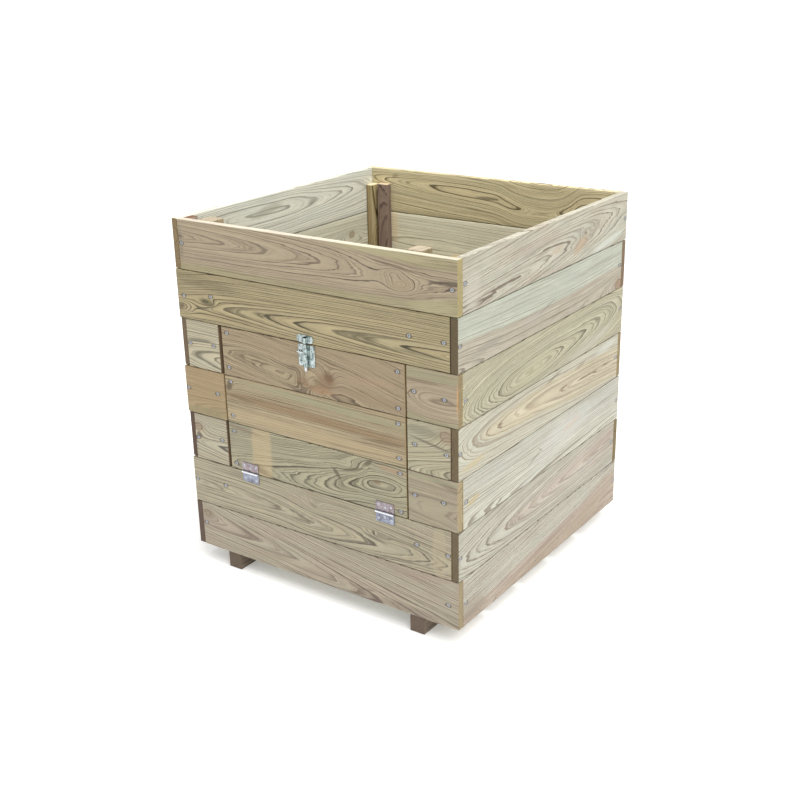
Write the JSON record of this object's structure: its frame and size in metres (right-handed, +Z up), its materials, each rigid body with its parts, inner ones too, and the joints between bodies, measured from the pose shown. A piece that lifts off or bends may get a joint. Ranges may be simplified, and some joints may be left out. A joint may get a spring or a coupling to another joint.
{
  "type": "planter box",
  "caption": "Square timber planter box of stacked boards on runners, with a front hatch that drops down on butt hinges and is held shut by a vertical barrel bolt.",
  "frame": {"origin": "middle of the footprint's bounding box, on the surface that the runners stand on", "axes": "+X to the right along the front wall, +Y from the front wall to the back wall, +Z up"},
  "size_m": [0.79, 0.801, 0.8925],
  "materials": {
    "pine_tan": "sawn and planed pressure-treated softwood, unpainted",
    "pine_olive": "sawn and planed pressure-treated softwood, unpainted",
    "pine_green": "sawn and planed pressure-treated softwood, unpainted",
    "pine_pale": "sawn and planed pressure-treated softwood, unpainted",
    "pine_peach": "sawn and planed pressure-treated softwood, unpainted",
    "pine_brown": "sawn and planed pressure-treated softwood, unpainted",
    "runner_timber": "sawn and planed pressure-treated softwood, unpainted",
    "zinc_plate": "bright zinc plate",
    "bright_steel": "bright zinc plated rod"
  },
  "bodies": {
    "box": {"front_board_1": "pine_tan", "front_board_2": "pine_olive", "front_board_6": "pine_olive", "front_board_7": "pine_tan", "front_stub_left_3": "pine_pale", "front_stub_left_4": "pine_peach", "front_stub_left_5": "pine_pale", "front_stub_right_3": "pine_tan", "front_stub_right_4": "pine_green", "front_stub_right_5": "pine_peach", "right_board_1": "pine_peach", "right_board_2": "pine_green", "right_board_3": "pine_green", "right_board_4": "pine_peach", "right_board_5": "pine_pale", "right_board_6": "pine_green", "right_board_7": "pine_brown", "back_board_1": "pine_olive", "back_board_2": "pine_pale", "back_board_3": "pine_green", "back_board_4": "pine_tan", "back_board_5": "pine_pale", "back_board_6": "pine_olive", "back_board_7": "pine_green", "left_board_1": "pine_pale", "left_board_2": "pine_pale", "left_board_3": "pine_olive", "left_board_4": "pine_tan", "left_board_5": "pine_brown", "left_board_6": "pine_green", "left_board_7": "pine_brown", "jamb_post_left": "pine_pale", "jamb_post_right": "pine_pale", "corner_batten_front_left": "pine_brown", "corner_batten_front_right": "pine_tan", "corner_batten_back_left_side": "pine_tan", "corner_batten_back_left_rear": "pine_brown", "corner_batten_back_right_side": "pine_pale", "corner_batten_back_right_rear": "pine_tan", "floor_board_1": "pine_green", "floor_board_2": "pine_green", "floor_board_3": "pine_green", "floor_board_4": "pine_green", "floor_board_5": "pine_green", "runner_left": "runner_timber", "runner_right": "runner_timber", "hinge_left_fixed_leaf": "zinc_plate", "hinge_left_pin": "bright_steel", "hinge_right_fixed_leaf": "zinc_plate", "hinge_right_pin": "bright_steel", "bolt_keeper": "zinc_plate"},
    "hatch": {"hatch_board_top": "pine_tan", "hatch_board_middle": "pine_olive", "hatch_board_bottom": "pine_green", "hatch_batten_left": "pine_tan", "hatch_batten_right": "pine_tan", "hinge_left_hatch_leaf": "zinc_plate", "hinge_right_hatch_leaf": "zinc_plate", "bolt_housing": "zinc_plate"},
    "bolt": {"bolt_rod": "bright_steel"}
  },
  "joints": [
    {"name": "hatch_hinge", "type": "hinge", "parent": "box", "child": "hatch", "pos_m": [0, -0.3927, 0.2868], "axis": [1, 0, 0], "range_deg": [0, 135]},
    {"name": "bolt_slide", "type": "slide", "parent": "hatch", "child": "bolt", "axis": [0, 0, 1], "range_m": [0, 0.012]}
  ]
}
